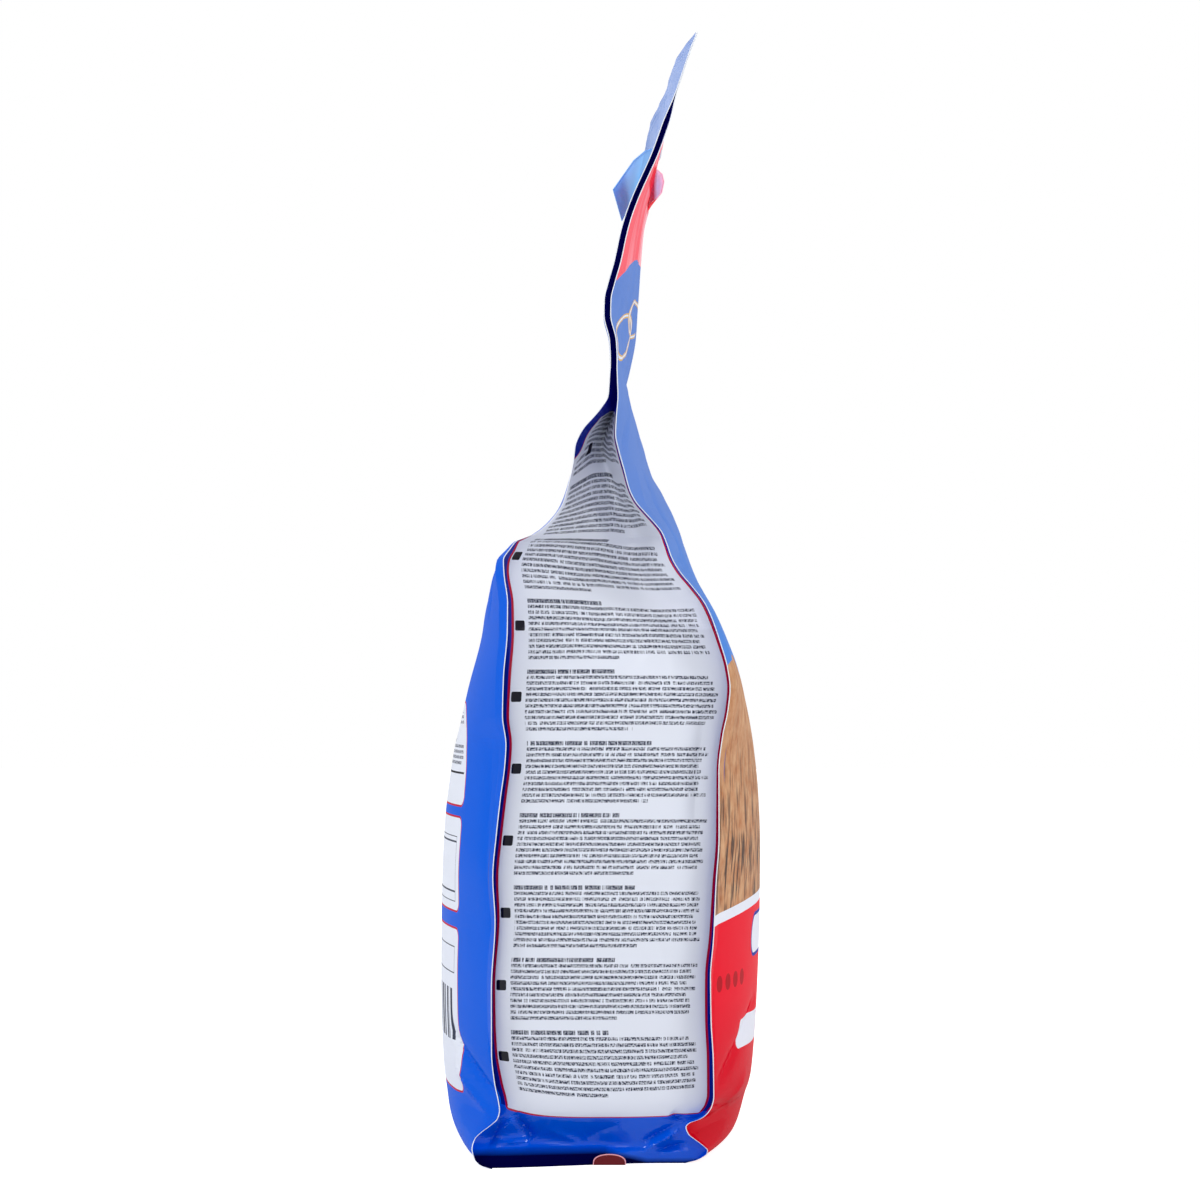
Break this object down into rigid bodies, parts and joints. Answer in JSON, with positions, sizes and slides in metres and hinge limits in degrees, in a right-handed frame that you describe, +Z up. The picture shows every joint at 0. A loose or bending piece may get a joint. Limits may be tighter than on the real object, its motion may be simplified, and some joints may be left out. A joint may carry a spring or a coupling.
{
  "type": "pet food bag",
  "caption": "Filled, heat-sealed upright film bag with welded corner fins, folded-in sides and a flat top with a hand slot.",
  "frame": {"origin": "on the floor, under the middle of the bag's overall width and depth", "axes": "+Z up along the bag's height, X across its width from side to side, -Y towards the front panel, +Y towards the back panel"},
  "size_m": [0.26, 0.1475, 0.48],
  "materials": {
    "film": "glossy printed plastic film, blue with white and red fields"
  },
  "bodies": {
    "root": {"bag": "film"}
  },
  "joints": []
}
